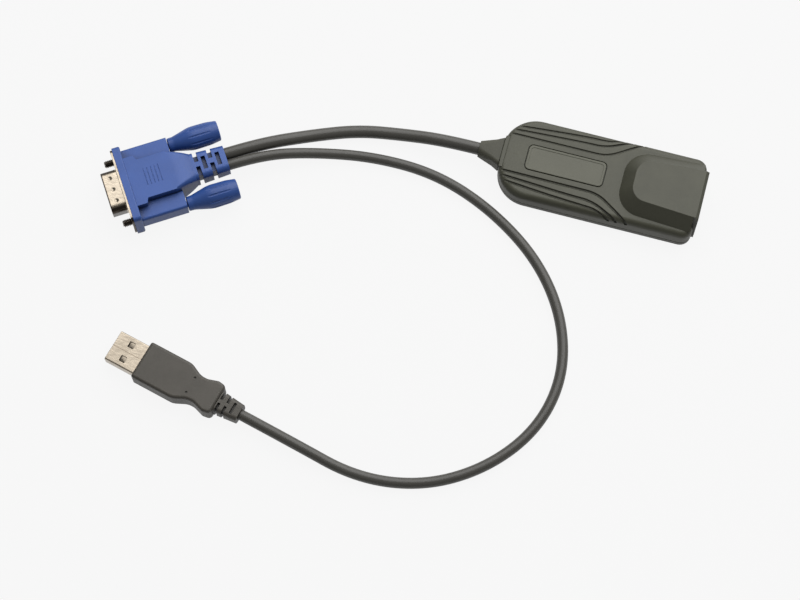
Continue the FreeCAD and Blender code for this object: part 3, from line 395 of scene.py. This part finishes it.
def done():
    """Merge doubles, turn faces outward and leave edit mode."""
    bpy.ops.mesh.select_all(action="SELECT")
    bpy.ops.mesh.remove_doubles(threshold=MERGE)
    bpy.ops.mesh.normals_make_consistent(inside=False)
    bpy.ops.object.mode_set(mode="OBJECT")


def pick(obj, test, kind="faces"):
    """In edit mode, select the faces or vertices whose place and normal pass the test."""
    bpy.ops.mesh.select_mode(type="FACE" if kind == "faces" else "VERT")
    bpy.ops.mesh.select_all(action="DESELECT")
    bpy.ops.object.mode_set(mode="OBJECT")
    if kind == "faces":
        for face in obj.data.polygons:
            face.select = test(face.center, face.normal)
    else:
        for vert in obj.data.vertices:
            vert.select = test(vert.co)
    bpy.ops.object.mode_set(mode="EDIT")


def drawn(name, points):
    """An open line through points, drawn by extruding a single vertex."""
    bpy.ops.object.select_all(action="DESELECT")
    bpy.ops.mesh.primitive_plane_add(size=0.001, location=(0, 0, 0))
    obj = bpy.context.object
    obj.name = name
    edit(obj)
    bpy.ops.mesh.merge(type="CENTER")
    bpy.ops.transform.translate(value=points[0])
    for before, after in zip(points, points[1:]):
        step = [b - a for a, b in zip(before, after)]
        bpy.ops.mesh.extrude_region_move(TRANSFORM_OT_translate={"value": step})
    bpy.ops.object.mode_set(mode="OBJECT")
    return obj


def spun(name, points, axis, steps=24):
    """A closed shape turned from a drawn profile about an axis through the origin."""
    obj = drawn(name, points)
    edit(obj)
    bpy.ops.mesh.spin(steps=steps, angle=2 * math.pi, center=(0, 0, 0), axis=axis)
    done()
    return obj


def apply(obj, kind, name, **settings):
    """Add a modifier and apply it."""
    only(obj)
    modifier = obj.modifiers.new(name, kind)
    for key, value in settings.items():
        setattr(modifier, key, value)
    bpy.ops.object.modifier_apply(modifier=name)


def joined(name, *objs):
    """Several objects joined into one."""
    bpy.ops.object.select_all(action="DESELECT")
    for obj in objs:
        obj.select_set(True)
    bpy.context.view_layer.objects.active = objs[0]
    bpy.ops.object.join()
    objs[0].name = name
    return objs[0]


def twin(obj, name):
    """A copy with its own mesh."""
    copy = bpy.data.objects.new(name, obj.data.copy())
    bpy.context.scene.collection.objects.link(copy)
    return copy


def settle(obj, matrix):
    """Stand a piece in its frame, with its place kept in its mesh."""
    obj.matrix_world = matrix
    only(obj)
    bpy.ops.object.transform_apply(location=True, rotation=True, scale=True)
    return obj


def finish(obj, mat, body, slot, *stands_for, smooth=math.radians(35)):
    """Give a piece its material, shading and body; its slot argument is not used."""
    obj.data.materials.clear()
    obj.data.materials.append(mat)
    only(obj)
    bpy.ops.object.shade_smooth_by_angle(angle=smooth)
    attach(obj, body)
    if stands_for:
        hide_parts(*stands_for)
    return obj


# ------------------------------------------------------------------ painted shade and seams in the plating
def dee_painted_shade(tree):
    """Painted dark reflection on the D shell's sloping sides and rim, and painted shade on
    its plate's ends.
    """
    split = plug_space(tree, VGA_AT, VGA_TURN)
    tube = maths(tree, "LESS_THAN", split.outputs["X"], TUBE_FROM)
    rim = window_mask(tree, split.outputs["X"], -DEE_LONG, RIM_HALF, RIM_HALF)
    ends = spread(tree, maths(tree, "ABSOLUTE", split.outputs["Y"]), PLATE_SHADED,
                  PLATE_SHADED + PLATE_FADE)
    dark = maths(tree, "MULTIPLY", steep_shade_mask(tree), tube)
    return maths(tree, "MAXIMUM", maths(tree, "MAXIMUM", dark, rim), ends)


def usb_seam(tree):
    """The line along the middle where the shell's folded edges meet."""
    split = plug_space(tree, USB_AT, USB_TURN)
    return window_mask(tree, split.outputs["Y"], 0.0, SEAM_HALF, SEAM_FADE)


def props():
    """The sizes and colours in use."""
    scene = bpy.context.scene
    return scene.dongle_sizes, scene.dongle_colours


# ------------------------------------------------------------------ operators
def shoulder_line(start, mid, bend, leave, tier):
    """Control points of one styling line, from the nose to over the pod's shoulder."""
    slope = Vector((leave - bend, POD_HALF - mid, 0)).normalized()
    bend_at = Vector((bend, mid, tier))
    run = [Vector((LINE_START, start, tier)), bend_at - Vector((2 * SWEEP_REACH, 0, 0)),
           bend_at]
    flat_end = POD_HALF - SHOULDER
    if flat_end - mid > 2 * SWEEP_REACH * slope.y:
        run.append(bend_at + slope * 2 * SWEEP_REACH)
    for turn in SHOULDER_TURNS:
        y = flat_end + SHOULDER * math.sin(math.radians(turn))
        drop = SHOULDER * (1 - math.cos(math.radians(turn)))
        run.append(Vector((bend + (y - mid) * slope.x / slope.y, y, tier - drop)))
    return run


def groove_cutter():
    """The six rods that plough the styling lines into the pod's top."""
    rods = []
    for start, mid, bend, leave, tier in STYLING_LINES:
        for side in (1, -1):
            path = [Vector((p.x, side * p.y, p.z)) for p in
                    shoulder_line(start, mid, bend, leave, tier)]
            rod = lead("rod", path, GROOVE_RADIUS, None)
            only(rod)
            bpy.ops.object.convert(target="MESH")
            rods.append(bpy.context.object)
    cutter = joined("groove_cutter", *rods)
    edit(cutter)
    done()
    return cutter


class DONGLE_OT_pod(bpy.types.Operator):
    """Finish the pod's two shells, badge plate, boot and network socket"""
    bl_idname = "dongle.pod"
    bl_label = "Pod"

    def execute(self, context):
        sizes, colours = props()
        pod = moulded("pod_plastic", colours.pod, sizes.grain, reach=0.0050, shaded=0.12,
                      open_at=0.92, wall_shade=0.82)
        dress(pod, "upper_housing", "lower_housing")
        shell = twin(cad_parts["upper_housing"], "pod_top")
        edit(shell)
        done()
        only(shell)
        bpy.ops.mesh.customdata_custom_splitnormals_clear()
        cutter = groove_cutter()
        apply(shell, "BOOLEAN", "grooves", operation="DIFFERENCE", object=cutter,
              solver="EXACT")
        bpy.data.objects.remove(cutter)
        edit(shell)
        done()
        finish(shell, pod, ROOT, "pod_plastic", "upper_housing", smooth=math.radians(28))
        dress(moulded("badge_plastic", colours.badge, 0.0004, mottle=0.05), "badge_plate")
        dress(moulded("boot_rubber", colours.boot, 0.0003, rough=(0.5, 0.65)), "cable_boot")
        dress(moulded("jack_plastic", JACK_BLACK, 0.0004), "jack_housing")
        dress(plated("contact_gold", colours.gold), "jack_contacts", "vga_pins",
              "usb_contacts")
        return {"FINISHED"}


class DONGLE_OT_board(bpy.types.Operator):
    """Finish the circuit board and what stands on it"""
    bl_idname = "dongle.board"
    bl_label = "Circuit board"

    def execute(self, context):
        dress(moulded("board_green", BOARD_GREEN, 0.0006), "circuit_board")
        dress(moulded("chip_black", CHIP_BLACK, 0.0002), "controller_chip",
              "memory_chip")
        dress(moulded("header_nylon", NYLON, 0.0004), "wire_header")
        dress(plated("can_metal", CAN_METAL), "crystal", "capacitors")
        return {"FINISHED"}


def threaded_shaft(pitch):
    """A thumbscrew's shaft along X: a real thread with a bevelled tip, then a plain shank."""
    turns = math.ceil((SCREW_OUT - THREAD_BACK) / pitch) + 2
    first = -SCREW_OUT - pitch
    thread = drawn("thread", [(first + share * pitch, 0, r) for share, r in THREAD_PROFILE])
    apply(thread, "SCREW", "helix", axis="X", angle=2 * math.pi, screw_offset=pitch,
          steps=THREAD_STEPS, render_steps=THREAD_STEPS, iterations=turns,
          use_merge_vertices=False)
    edit(thread)
    bpy.ops.mesh.remove_doubles(threshold=MERGE)
    for at, way in ((-THREAD_BACK, 1), (-SCREW_OUT, -1)):
        bpy.ops.mesh.select_all(action="SELECT")
        bpy.ops.mesh.bisect(plane_co=(at, 0, 0), plane_no=(way, 0, 0), use_fill=True,
                            clear_outer=True, clear_inner=False)
    done()
    edit(thread)
    for share, taper in TIP_TAPERS:
        pick(thread, lambda co: co.x < -SCREW_OUT + share * pitch, "verts")
        bpy.ops.transform.resize(value=(1, taper, taper), center_override=(0, 0, 0))
    done()
    shank = spun("shank", [(-THREAD_BACK, 0, 0), (-THREAD_BACK, 0, THREAD_ROOT),
                           (SHANK_END - THREAD_BACK, 0, THREAD_ROOT),
                           (SHANK_END, 0, THREAD_ROOT - THREAD_BACK), (SHANK_END, 0, 0)],
                 (1, 0, 0), 32)
    return joined("shaft", thread, shank)


def dimple():
    """A pressed dimple: a shallow dish that fills its pocket to the rim."""
    return spun("dimple", [(out * DIMPLE_RADIUS, 0, -down * DIMPLE_DEEP)
                           for out, down in DISH], (0, 0, 1), 20)


def spring_tab():
    """The sprung tab seen through a window of the USB shell, held under its rear edge."""
    side = WINDOW_SIDE - TAB_GAP
    bpy.ops.object.select_all(action="DESELECT")
    bpy.ops.mesh.primitive_cube_add(size=1.0)
    tab = bpy.context.object
    edit(tab)
    bpy.ops.transform.resize(value=(side + TAB_UNDER, side, TAB_THICK))
    bpy.ops.transform.translate(value=(TAB_UNDER, 0, -USB_WALL * 0.75))
    pick(tab, lambda centre, normal: normal.z > 0.9)
    bpy.ops.mesh.inset(thickness=TAB_RIM)
    bpy.ops.transform.translate(value=(0, 0, TAB_RISE))
    pick(tab, lambda co: co.x < TAB_FRONT, "verts")
    bpy.ops.transform.translate(value=(0, 0, -TAB_DIP))
    done()
    apply(tab, "BEVEL", "edges", width=TAB_ROUND, segments=2, limit_method="ANGLE")
    return tab


def grip_rib():
    """One low rounded rib across the top of the hood."""
    bpy.ops.object.select_all(action="DESELECT")
    bpy.ops.mesh.primitive_cube_add(size=1.0)
    rib = bpy.context.object
    edit(rib)
    bpy.ops.transform.resize(value=(RIB_LONG, RIB_WIDE, RIB_TALL))
    bpy.ops.transform.translate(value=(0, 0, -RIB_SUNK))
    pick(rib, lambda centre, normal: normal.z > 0.9)
    bpy.ops.transform.resize(value=RIB_CROWN)
    done()
    apply(rib, "BEVEL", "edges", width=RIB_ROUND, segments=3, limit_method="ANGLE")
    return rib


class DONGLE_OT_video_plug(bpy.types.Operator):
    """Finish the video plug: hood, shells, insert and thumbscrews"""
    bl_idname = "dongle.video_plug"
    bl_label = "Video plug"

    def execute(self, context):
        sizes, colours = props()
        blue = moulded("plug_blue", colours.blue, 0.0005, rough=(0.36, 0.48), mottle=0.06,
                       reach=0.0050, shaded=0.16, open_at=0.88, wall_shade=0.72)
        dress(blue, "vga_hood", "vga_insert")
        dress(moulded("grip_blue", colours.grip, 0.0005, rough=(0.36, 0.48), mottle=0.06,
                      reach=0.003), "thumbscrew_grip_near", "thumbscrew_grip_far")
        plate = plated("connector_plating", scaled(colours.plating, 1.09), seams_and_shade=dee_painted_shade)
        dress(plate, "vga_front_shell", "vga_rear_shell")
        steel = plated("screw_plating", colours.screw, edge=0.00006)
        dress(steel, "thumbscrew_shaft_near", "thumbscrew_shaft_far")
        shaft = threaded_shaft(sizes.thread_pitch)
        for side, sign in (("near", -1), ("far", 1)):
            screw = settle(twin(shaft, "threaded_shaft_" + side),
                           VGA @ Matrix.Translation((0, sign * SCREW_SPREAD / 2, 0)))
            finish(screw, steel, "thumbscrew_" + side, "screw_steel",
                   "thumbscrew_shaft_" + side)
        bpy.data.objects.remove(shaft)
        dish = dimple()
        dishes = [settle(twin(dish, "dish"), VGA @ Matrix.Translation(
            (-DEE_LONG / 2, step * DIMPLE_PITCH, DEE_TOP))) for step in (-1, 0, 1)]
        dishes += [settle(twin(dish, "dish"), VGA @ Matrix.Translation(
            (-DEE_LONG / 2, step * DIMPLE_PITCH / 2, -DEE_TOP)) @ Matrix.Rotation(
                math.pi, 4, "X")) for step in (-1, 1)]
        bpy.data.objects.remove(dish)
        finish(joined("shell_dimples", *dishes), plate, ROOT, "connector_steel")
        rib = grip_rib()
        ribs = [settle(twin(rib, "rib"), VGA @ Matrix.Translation((x, RIB_ASIDE, HOOD_TOP)))
                for x in RIB_PLACES]
        bpy.data.objects.remove(rib)
        finish(joined("hood_grip_ribs", *ribs), blue, ROOT, "plug_blue")
        return {"FINISHED"}


class DONGLE_OT_usb_plug(bpy.types.Operator):
    """Finish the USB plug: shell, tongue, overmould and spring tabs"""
    bl_idname = "dongle.usb_plug"
    bl_label = "USB plug"

    def execute(self, context):
        colours = context.scene.dongle_colours
        dress(moulded("usb_plastic", colours.usb_grey, 0.0003, reach=0.004, shaded=0.20,
                      open_at=0.88, wall_shade=0.80), "usb_overmould")
        dress(plated("usb_plating", colours.plating, seams_and_shade=usb_seam,
                     seam_and_shade_colour=SEAM_BROWN), "usb_shell")
        tab = spring_tab()
        tabs = [settle(twin(tab, "tab"), USB @ Matrix.Translation(
            (WINDOW_AT, side * WINDOW_SPREAD / 2, USB_TOP))) for side in (-1, 1)]
        bpy.data.objects.remove(tab)
        # the tab's plating is the shell's, darker: painted shade inside its window
        finish(joined("usb_spring_tabs", *tabs), plated("tab_plating", scaled(
            colours.plating, 0.62), edge_dark_reflection=0.85, crease_shade=0.8), ROOT, "connector_steel")
        dress(moulded("tongue_white", TONGUE_WHITE, 0.0005), "usb_tongue")
        return {"FINISHED"}


def lead(name, route, radius, mat):
    """A cable as a round-bevelled spline through its route's control points."""
    data = bpy.data.curves.new(name, "CURVE")
    data.dimensions = "3D"
    spline = data.splines.new("NURBS")
    spline.points.add(len(route) - 1)
    for point, at in zip(spline.points, route):
        point.co = (*at, 1.0)
    spline.order_u = 3
    spline.use_endpoint_u = True
    spline.resolution_u = 12
    data.bevel_depth = radius
    data.bevel_resolution = 8
    data.use_fill_caps = True
    if mat:
        data.materials.append(mat)
    obj = bpy.data.objects.new(name, data)
    bpy.context.scene.collection.objects.link(obj)
    return obj


class DONGLE_OT_leads(bpy.types.Operator):
    """Lay the video lead and the USB lead"""
    bl_idname = "dongle.leads"
    bl_label = "Leads"

    def execute(self, context):
        sizes, colours = props()
        jacket = moulded("lead_jacket", colours.jacket, 0.0005, rough=(0.30, 0.40),
                         mottle=0.05)
        plug_pieces = [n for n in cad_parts
                       if n.startswith(("vga_", "thumbscrew_grip"))]
        plug_pieces += ["threaded_shaft_near", "threaded_shaft_far", "shell_dimples",
                        "hood_grip_ribs"]
        video = lead("video_lead", VIDEO_ROUTE, sizes.video_bore, jacket)
        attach(video, ROOT)
        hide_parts("video_cable")
        usb = lead("usb_lead", USB_ROUTE, sizes.usb_bore, jacket)
        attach(usb, ROOT)
        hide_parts("usb_cable")
        return {"FINISHED"}


def floor_paint():
    """Grey paint that glows white where it is seen, so that the backdrop stays light."""
    mat, tree, bsdf = new_material("floor_white")
    bsdf.inputs["Base Color"].default_value = FLOOR_GREY
    bsdf.inputs["Roughness"].default_value = FLOOR_ROUGH
    white = node(tree, "ShaderNodeEmission", Strength=1.0)
    white.inputs["Color"].default_value = WHITE
    rays = node(tree, "ShaderNodeLightPath")
    seen = rays.outputs["Is Camera Ray"]
    for ray in ("Is Glossy Ray", "Is Transmission Ray"):
        seen = maths(tree, "MAXIMUM", seen, rays.outputs[ray])
    blend = node(tree, "ShaderNodeMixShader")
    tree.links.new(maths(tree, "MULTIPLY", seen, FLOOR_GLOW), blend.inputs["Fac"])
    tree.links.new(bsdf.outputs[0], blend.inputs[1])
    tree.links.new(white.outputs[0], blend.inputs[2])
    tree.links.new(blend.outputs[0], tree.nodes["Material Output"].inputs["Surface"])
    return mat


class DONGLE_OT_stage(bpy.types.Operator):
    """Set up the floor, the lamp and the camera"""
    bl_idname = "dongle.stage"
    bl_label = "Stage"

    def execute(self, context):
        scene = context.scene
        scene.view_settings.view_transform = "Standard"
        bpy.ops.object.select_all(action="DESELECT")
        bpy.ops.mesh.primitive_plane_add(size=FLOOR_SIDE, location=MIDDLE)
        floor = context.object
        floor.name = "floor"
        floor.data.materials.append(floor_paint())
        world = bpy.data.worlds.new("studio")
        scene.world = world
        world.use_nodes = True
        background = world.node_tree.nodes["Background"]
        background.inputs["Color"].default_value = WHITE
        background.inputs["Strength"].default_value = WORLD_LIGHT
        lamp = bpy.data.lights.new("key", "AREA")
        lamp.shape = "DISK"
        lamp.size = LAMP_WIDE
        lamp.energy = LAMP_POWER
        key = bpy.data.objects.new("key", lamp)
        key.location = LAMP_AT
        key.rotation_euler = (MIDDLE - LAMP_AT).to_track_quat("-Z", "Y").to_euler()
        scene.collection.objects.link(key)
        right = Vector((math.cos(CAMERA_TURN), math.sin(CAMERA_TURN), 0.0))
        along = Vector((-math.sin(CAMERA_TURN), math.cos(CAMERA_TURN), 0.0))
        back = -along * math.sin(CAMERA_TILT) + Vector((0, 0, math.cos(CAMERA_TILT)))
        lens = bpy.data.cameras.new("camera")
        lens.lens = LENS
        lens.sensor_width = SENSOR
        camera = bpy.data.objects.new("camera", lens)
        camera.location = LOOK_AT + back * CAMERA_FAR
        axes = Matrix((right, back.cross(right), back))
        camera.rotation_euler = axes.transposed().to_euler()
        scene.collection.objects.link(camera)
        scene.camera = camera
        return {"FINISHED"}


class DONGLE_PT_panel(bpy.types.Panel):
    """Sizes, colours and steps of the dongle's finish"""
    bl_label = "Dongle"
    bl_idname = "DONGLE_PT_panel"
    bl_space_type = "VIEW_3D"
    bl_region_type = "UI"
    bl_category = "Dongle"

    def draw(self, context):
        for group in (context.scene.dongle_sizes, context.scene.dongle_colours):
            for key in group.__annotations__:
                self.layout.prop(group, key)
        for step in STEPS:
            self.layout.operator("dongle." + step)


STEPS = ("pod", "board", "video_plug", "usb_plug", "leads", "stage")
CLASSES = (DongleSizes, DongleColours, DONGLE_OT_pod, DONGLE_OT_board,
           DONGLE_OT_video_plug, DONGLE_OT_usb_plug, DONGLE_OT_leads, DONGLE_OT_stage,
           DONGLE_PT_panel)


def register():
    """Register the classes and hang the two groups on the scene."""
    for cls in CLASSES:
        bpy.utils.register_class(cls)
    bpy.types.Scene.dongle_sizes = bpy.props.PointerProperty(type=DongleSizes)
    bpy.types.Scene.dongle_colours = bpy.props.PointerProperty(type=DongleColours)


def unregister():
    """Undo what register did."""
    del bpy.types.Scene.dongle_colours
    del bpy.types.Scene.dongle_sizes
    for cls in reversed(CLASSES):
        bpy.utils.unregister_class(cls)


def main():
    """Run every step in order."""
    register()
    for step in STEPS:
        getattr(bpy.ops.dongle, step)()
    bpy.context.view_layer.update()


if __name__ == "__main__":
    main()
